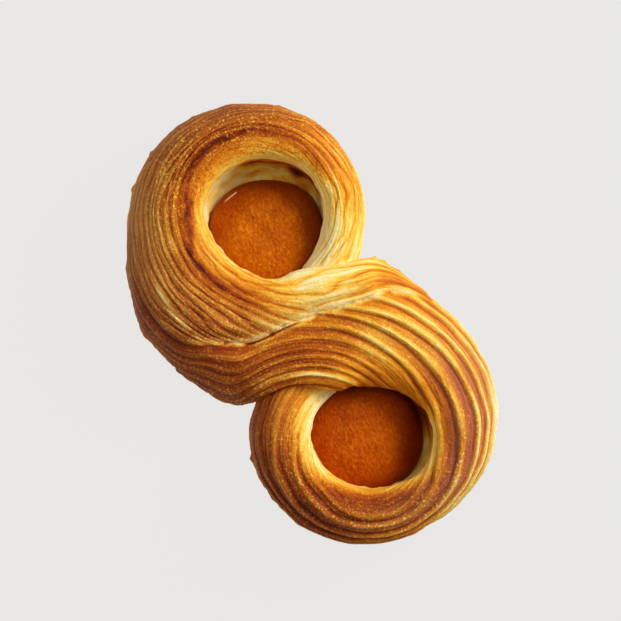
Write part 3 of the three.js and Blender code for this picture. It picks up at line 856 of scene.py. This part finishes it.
def crackle_lines(tree, place):
    """Thin lines between cells whose edges waver, 0 to 1: the place is moved a little by coloured noise
    before the cells are laid on it."""
    waver = tree.add("ShaderNodeTexNoise", Vector=place, Scale=RATES["waver"]).outputs["Color"]
    waver = tree.add("ShaderNodeVectorMath", {"operation": "SCALE"}, Vector=waver, Scale=WAVER_REACH)
    bent = tree.add("ShaderNodeVectorMath", {"operation": "ADD"})
    tree.feed(bent.inputs[0], place)
    tree.feed(bent.inputs[1], waver.outputs[0])
    cells = tree.add("ShaderNodeTexVoronoi", {"feature": "DISTANCE_TO_EDGE"}, Vector=bent.outputs[0],
                     Scale=RATES["cells"])
    return tree.between(cells.outputs["Distance"], 0.07, 0.0)


def crust_material(colours, grain):
    """Baked, glazed dough: how far it is baked picks a colour from cream to dark brown, ridges are paler,
    grooves darker, and streaks follow the layers. Some of the darkness in the grooves and the seam is
    painted shadow, a greyer tan on the outer flanks is painted shade, and a mauve reflection of the glaze is
    painted."""
    material, tree, shader = new_material("baked_crust", CRUST_FINISH)
    place = tree.place()
    flow = tree.attribute("flow", "Vector")
    crumb = tree.add("ShaderNodeGroup", {"node_tree": grain}, Vector=place, Size=1.1).outputs
    streak = tree.cloud(tree.stretched(flow, FLOW_RATES["streak"]), 1.0, 4.0, 0.65)
    stripe = tree.cloud(tree.stretched(flow, FLOW_RATES["stripe"]), 1.0, 2.0, 0.5)
    hair = tree.cloud(tree.stretched(flow, FLOW_RATES["hair"]), 1.0, 2.0, 0.5)
    patch = tree.cloud(place, RATES["patch"])
    grit = tree.cloud(place, RATES["grit"], 2.0)
    ridge = tree.attribute("ridge")
    crackle = tree.times(tree.attribute("rim"), crackle_lines(tree, place))
    dots = tree.times(ridge, tree.between(grit, 0.3, 0.62, 0.5, 1.0))
    speck = tree.times(crumb["Speck"], tree.between(crumb["Mottle"], 0.5, 0.68))
    blisters = tree.between(tree.cloud(place, RATES["blister"]), 0.52, 0.62)
    blister = tree.times(tree.attribute("blister"), blisters)

    swings = [tree.swing(mask, amount) for mask, amount in (
        (streak, 0.4), (hair, 0.3), (stripe, 0.24), (patch, 0.3),
        (grit, tree.total(0.18, tree.times(ridge, 0.24))))]
    shifts = [tree.times(mask, amount) for mask, amount in (
        (tree.attribute("groove"), 0.25), (crackle, 0.2), (dots, -0.3), (blister, -0.4), (speck, -0.14))]
    bake = tree.total(tree.attribute("bake"), *swings, *shifts)
    rich = tree.ramp(bake, [(share, getattr(colours, name)) for share, name in RICH_BAKE])
    # A greyer tan mixed in: painted shade on the outer flanks, most on the left ones away from the key
    # light, and the underside's own duller colour.
    colour = tree.mix(tree.times(tree.attribute("dull"), 0.75), rich, tree.ramp(bake, DULL_AND_SHADE_BAKE))
    # Painted reflection: a mauve sheen of the glaze laid into the colour of the dark bands, off the ridges
    # and in streaks.
    painted_sheen_share = tree.times(tree.attribute("gloss"), tree.math("SUBTRACT", 1.0, ridge, clamp=True))
    painted_sheen_share = tree.times(painted_sheen_share, tree.between(streak, 0.3, 0.62))
    colour = tree.mix(tree.times(painted_sheen_share, 0.75), colour, linear(PAINTED_SHEEN_COLOUR))
    spots = tree.between(tree.cloud(place, RATES["spots"]), 0.52, 0.62)
    spots = tree.times(tree.attribute("web"), tree.times(spots, 0.45))
    tree.feed(shader.inputs["Base Color"], tree.mix(spots, colour, linear(WEB_SPOT)))

    rough = tree.total(tree.between(bake, 0.1, 0.9, 0.58, 0.36), tree.times(crumb["Mottle"], 0.16))
    tree.feed(shader.inputs["Roughness"], rough)
    raised = [tree.times(mask, amount) for mask, amount in (
        (hair, 0.35), (crumb["Mottle"], 0.55), (speck, 0.5), (streak, 0.6), (blister, 0.9))]
    bump = tree.add("ShaderNodeBump", Height=tree.total(*raised), Strength=0.7, Distance=0.6 * MM)
    tree.feed(shader.inputs["Normal"], bump.outputs[0])
    return material


def fruit_material(colours, grain):
    """Baked apricot skin: mottled orange brown, finely dimpled and moist under a thin glossy coat. Painted
    shade darkens its rim and the side that the well's wall shades, and a painted highlight of glaze lies
    along one edge.
    """
    material, tree, shader = new_material("apricot_skin", FRUIT_FINISH)
    place = tree.place()
    fine = tree.add("ShaderNodeGroup", {"node_tree": grain}, Vector=place, Size=1.0).outputs["Mottle"]
    broad = tree.cloud(place, RATES["fruit"])
    brushed = tree.cloud(tree.stretched(place, BRUSHED_RATES), 1.0, 2.0)
    fleck = tree.times(tree.between(brushed, 0.52, 0.66), 0.14)
    share = tree.total(tree.times(broad, 0.5), tree.times(fine, 0.5), fleck)
    stops = [(0.3, colours.fruit_dark), (0.5, colours.fruit), (0.72, colours.fruit_light)]
    colour = tree.ramp(share, stops)
    # Painted shade: the skin darkens towards its rim, where it sinks against the well's wall.
    colour = tree.mix(tree.times(tree.attribute("edge"), 0.7), colour, linear(colours.fruit_dark))
    colour = tree.mix(tree.attribute("red"), colour, REDDER, "MULTIPLY")
    # Painted shade: dark red towards the picture's right and top, where the well's wall on the lit side
    # shades the fruit.
    colour = tree.mix(tree.attribute("blush"), colour, linear(colours.blush))
    # Painted highlight: a pale streak of glaze along the fruit's edge.
    colour = tree.mix(tree.attribute("glint"), colour, linear(PAINTED_GLINT_COLOUR))
    tree.feed(shader.inputs["Base Color"], colour)
    tree.feed(shader.inputs["Roughness"], tree.between(fine, 0.3, 0.7, 0.36, 0.5))
    height = tree.total(fine, tree.times(brushed, 0.9))
    bump = tree.add("ShaderNodeBump", Height=height, Strength=0.9, Distance=0.8 * MM)
    tree.feed(shader.inputs["Normal"], bump.outputs[0])
    return material


# ---- Settings --------------------------------------------------------------------------------------
def length_property(name, description, default):
    """A length that a user may change, in metres."""
    return bpy.props.FloatProperty(name=name, description=description, default=default, min=0, unit="LENGTH")


def colour_property(name, description, default):
    """A display colour that a user may change."""
    return bpy.props.FloatVectorProperty(name=name, description=description, default=display(*default),
                                         size=3, min=0, max=1, subtype="COLOR_GAMMA")


class DanishSizes(bpy.types.PropertyGroup):
    """Sizes of the relief and the fruit."""

    relief: bpy.props.FloatProperty(
        name="Relief", description="Share of the layers' full relief", default=1, min=0, max=2,
        subtype="FACTOR")
    seam_depth: length_property("Seam depth", "Depth of the seam between the curls", 3.4 * MM)
    fruit_radius: length_property("Fruit radius", "Radius of an apricot half", 19.2 * MM)
    fruit_height: length_property("Fruit height", "Height of an apricot half", 12 * MM)


class DanishColours(bpy.types.PropertyGroup):
    """Colours of the crust and the fruit."""

    cream: colour_property("Cream", "Dough that the heat hardly reached", (255, 240, 178))
    yellow: colour_property("Yellow", "Lightly baked dough", (252, 206, 80))
    gold: colour_property("Gold", "Evenly baked dough", (230, 144, 26))
    brown: colour_property("Brown", "Well baked dough", (188, 92, 10))
    dark: colour_property("Dark", "Dark baked dough", (146, 52, 6))
    burnt: colour_property("Burnt", "The darkest dough", (84, 28, 4))
    fruit: colour_property("Fruit", "Apricot skin", (193, 95, 0))
    fruit_light: colour_property("Fruit light", "Lightest flecks of the skin", (221, 131, 5))
    # Also the colour of the painted shade at the fruit's rim.
    fruit_dark: colour_property("Fruit dark", "Darkest flecks of the skin", (150, 54, 0))
    # Painted shade: the dark red mixed onto the side of each fruit that the well's wall shades.
    blush: colour_property("Blush", "Darkest red of the skin", (104, 22, 0))


class DanishStudio(bpy.types.PropertyGroup):
    """The floor, the light and the camera."""

    floor_colour: colour_property("Floor", "Colour of the floor in the picture", (231, 230, 228))
    camera_height: length_property("Camera height", "Height of the camera above the floor", 1.6)
    key_power: bpy.props.FloatProperty(
        name="Key power", description="Power of the key light", default=8.1, min=0, unit="POWER")


# ---- Operators -------------------------------------------------------------------------------------
def shared(store, name, maker, *values):
    """The material or node group of that name, made on first use."""
    return store.get(name) or maker(*values)


def shared_material(name, maker):
    """A material of the crust or the fruit, made on first use round the grain that they share."""
    grain = shared(bpy.data.node_groups, "crumb_grain", crumb_group)
    return shared(bpy.data.materials, name, maker, bpy.context.scene.danish_colours, grain)


class DANISH_OT_curls(bpy.types.Operator):
    """Make the two curls of the strand"""

    bl_idname = "danish.curls"
    bl_label = "Curls"

    def execute(self, context):
        material = shared_material("baked_crust", crust_material)
        first_ring = None
        for curl, other in ((BROAD, FINE), (FINE, BROAD)):
            points, values, flow = curl_surface(curl, other, context.scene.danish_sizes)
            if first_ring is None:
                first_ring = points[0]
            else:
                points[0] = first_ring[JOINT]
            values = {key: with_end_rings(value) for key, value in values.items()}
            points = with_end_rings(points)
            faces = swept_faces(*points.shape[:2], doubled_ends=True)
            piece = new_piece(curl["name"], points, faces, material, values, with_end_rings(flow))
            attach(piece, "root")
            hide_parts("dough")
        return {"FINISHED"}


class DANISH_OT_floors(bpy.types.Operator):
    """Make the dough floor under each well"""

    bl_idname = "danish.floors"
    bl_label = "Well floors"

    def execute(self, context):
        material = shared_material("baked_crust", crust_material)
        for curl, name in ((BROAD, "floor_broad"), (FINE, "floor_fine")):
            points = floor_surface(curl["side"] * WELL_OFFSET)
            faces = swept_faces(*points.shape[:2])
            values = {"bake": UNDER_BAKE, "dull": UNDER_DULL}
            piece = new_piece(name, points, faces, material, values, points)
            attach(piece, "root")
            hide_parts("dough")
        return {"FINISHED"}


def floor_surface(middle):
    """A flat round disc: rings from the middle of its underside out to the rim, up it and in to the middle
    of its top."""
    share = np.linspace(0, 1, FLOOR_RINGS)[:, None]
    radius = np.interp(share, FLOOR_PROFILE["share"], FLOOR_PROFILE["radius"])
    height = np.interp(share, FLOOR_PROFILE["share"], FLOOR_PROFILE["height"])
    angle = round_angles(FLOOR_POINTS)
    return np.stack([middle + radius * np.cos(angle), radius * np.sin(angle), height + 0 * angle], -1)


class DANISH_OT_apricots(bpy.types.Operator):
    """Make the two apricot halves"""

    bl_idname = "danish.apricots"
    bl_label = "Apricot halves"

    def execute(self, context):
        material = shared_material("apricot_skin", fruit_material)
        for name, seed, suture, red in FRUITS:
            points, values = fruit_surface(context.scene.danish_sizes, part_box(name), seed, suture, red)
            faces = swept_faces(*points.shape[:2])
            piece = new_piece(name + "_half", points, faces, material, values)
            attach(piece, "root")
            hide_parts(name)
        return {"FINISHED"}


def fruit_surface(sizes, box, seed, suture, red):
    """Half an apricot in its frame's box, cut side down: rings from the middle of the cut side, round the
    edge and up a flattened dome, whose radius and height are a power of an angle's cosine and sine. The
    shallow suture, soft lumps and fine dimples are taken off it. Returns the points and the attributes."""
    full, tall = sizes.fruit_radius / MM, sizes.fruit_height / MM
    ring = np.linspace(0, 1, FRUIT_RINGS)[:, None]
    angle = np.interp(ring, [0, FRUIT_CUT, 1], [0, 0, np.pi / 2])
    dome = np.cos(angle) ** FRUIT_BULGE
    radius = full * np.where(ring < FRUIT_CUT, ring / FRUIT_CUT * 0.999, dome) + POLE_RADIUS
    height = tall * np.sin(angle) ** FRUIT_BULGE
    spin = round_angles(FRUIT_POINTS)
    uneven = 1 + 0.012 * np.sin(2 * spin + seed) + 0.008 * np.sin(5 * spin + 2 * seed)
    x, y = radius * uneven * np.cos(spin), radius * uneven * np.sin(spin)

    suture = math.radians(suture)
    beside = (x * math.sin(suture) - y * math.cos(suture)) / (SUTURE_WIDTH * full)
    lumps = 0.5 * sway(seed, x / 6 + 9, y / 6 + 9) + 0.16 * sway(seed + 1, x / 1.3 + 40, y / 1.3 + 40)
    z = height + height / tall * (lumps - 0.45 * bell(beside, 0, 1) - 0.25)
    low, high = (np.array(corner) / MM for corner in box)
    middle = (low + high) / 2
    points = np.stack([middle[0] + x, middle[1] + y, low[2] + np.maximum(z, 0)], -1)

    # Painted shade at the rim (edge): darker towards the fruit's rim, where it meets the well's wall, more
    # so towards the picture's bottom and less on the lit lower left of the redder fruit.
    right = x * math.cos(PHOTO_TURN) + y * math.sin(PHOTO_TURN)
    up = y * math.cos(PHOTO_TURN) - x * math.sin(PHOTO_TURN)
    edge = ease(radius / full, 0.4, 0.85) * (1 - 0.8 * red * ease(-right - 0.5 * up, 4, 17))
    edge = edge * (0.8 + 0.5 * ease(-up, 8, 18))
    # Painted shade: how far the skin turns dark red towards the picture's right and top, where the wall on
    # the lit side casts its shadow on the fruit.
    blush = 0.85 * ease(np.logaddexp(right / 2, (up - 4) / 2) * 2 + 2.5 * lumps, 6, 17)
    return points, {"edge": edge, "blush": blush * (0.78 + 0.22 * red), "red": red, "glint": glint(points)}


def glint(points):
    """Painted highlight of glaze at the fruit's edge: a bell across the line of GLINT, 0 to 1."""
    start, end = (np.array(corner) for corner in GLINT)
    way = end - start
    share = np.clip(((points[..., :2] - start) @ way) / (way @ way), 0, 1)
    off = np.linalg.norm(points[..., :2] - start - share[..., None] * way, axis=-1)
    return bell(off, 0, GLINT_WIDTH) * (points[..., 2] > FLOOR_TOP + 1)


class DANISH_OT_studio(bpy.types.Operator):
    """Set up the floor, the lights and the camera"""

    bl_idname = "danish.studio"
    bl_label = "Studio"

    def execute(self, context):
        studio = context.scene.danish_studio
        self.floor(studio)
        self.lights(context.scene, studio)
        self.camera(context.scene, studio)
        context.scene.view_settings.view_transform = "Standard"
        return {"FINISHED"}

    def floor(self, studio):
        """One big square just under the danish, which glows so that the picture shows it even."""
        corners = np.array([[[-1, -1, 0], [1, -1, 0]], [[1, 1, 0], [-1, 1, 0]]]) * STUDIO_REACH
        settings = {"Base Color": linear(STUDIO_SHADE), "Roughness": 0.9, "Specular IOR Level": 0.0,
                    "Emission Color": linear(studio.floor_colour), "Emission Strength": 0.99}
        material = new_material("floor", settings)[0]
        new_piece("studio_floor", corners - [0, 0, STUDIO_DROP], [[0, 1, 2, 3]], material)

    def lights(self, scene, studio):
        """An even white world and the area lights, each looking at the danish."""
        scene.world = bpy.data.worlds.new("studio")
        scene.world.use_nodes = True
        background = scene.world.node_tree.nodes["Background"]
        background.inputs["Color"].default_value = (1.0, 1.0, 1.0, 1.0)
        background.inputs["Strength"].default_value = WORLD_STRENGTH
        for name, (across, up, height), size, share in LIGHTS:
            data = bpy.data.lights.new(name, "AREA")
            data.size = size
            data.energy = share * studio.key_power
            light = bpy.data.objects.new(name, data)
            scene.collection.objects.link(light)
            place = Vector((across * math.cos(PHOTO_TURN) - up * math.sin(PHOTO_TURN),
                            across * math.sin(PHOTO_TURN) + up * math.cos(PHOTO_TURN), height))
            light.location = place
            light.rotation_euler = (-place).to_track_quat("-Z", "Y").to_euler()

    def camera(self, scene, studio):
        """Straight above, turned as the picture is, and as wide as the picture at the outline's height."""
        data = bpy.data.cameras.new("camera")
        camera = bpy.data.objects.new("camera", data)
        scene.collection.objects.link(camera)
        camera.location = (VIEW_CENTRE[0] * MM, VIEW_CENTRE[1] * MM, studio.camera_height)
        camera.rotation_euler = (0, 0, PHOTO_TURN)
        data.lens = data.sensor_width * (studio.camera_height / MM - OUTLINE_HEIGHT) / VIEW_WIDTH
        data.clip_end = CAMERA_REACH
        scene.camera = camera


class DANISH_PT_panel(bpy.types.Panel):
    """The danish's settings and steps"""

    bl_idname = "DANISH_PT_panel"
    bl_label = "Apricot danish"
    bl_space_type = "VIEW_3D"
    bl_region_type = "UI"
    bl_category = "Danish"

    def draw(self, context):
        for name, kind in SETTINGS.items():
            for key in kind.__annotations__:
                self.layout.prop(getattr(context.scene, name), key)
        for step in STEPS:
            self.layout.operator(step.bl_idname)


SETTINGS = {"danish_sizes": DanishSizes, "danish_colours": DanishColours, "danish_studio": DanishStudio}
STEPS = (DANISH_OT_studio, DANISH_OT_curls, DANISH_OT_floors, DANISH_OT_apricots)
CLASSES = (*SETTINGS.values(), *STEPS, DANISH_PT_panel)


def register():
    """Adds the classes, and the settings to the scene."""
    for item in CLASSES:
        bpy.utils.register_class(item)
    for name, kind in SETTINGS.items():
        setattr(bpy.types.Scene, name, bpy.props.PointerProperty(type=kind))


def unregister():
    """Takes the settings and the classes away again."""
    for name in SETTINGS:
        delattr(bpy.types.Scene, name)
    for item in reversed(CLASSES):
        bpy.utils.unregister_class(item)


def main():
    """Makes the danish and its studio."""
    register()
    for step in STEPS:
        getattr(bpy.ops.danish, step.bl_idname.split(".")[1])()
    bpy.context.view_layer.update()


if __name__ == "__main__":
    main()
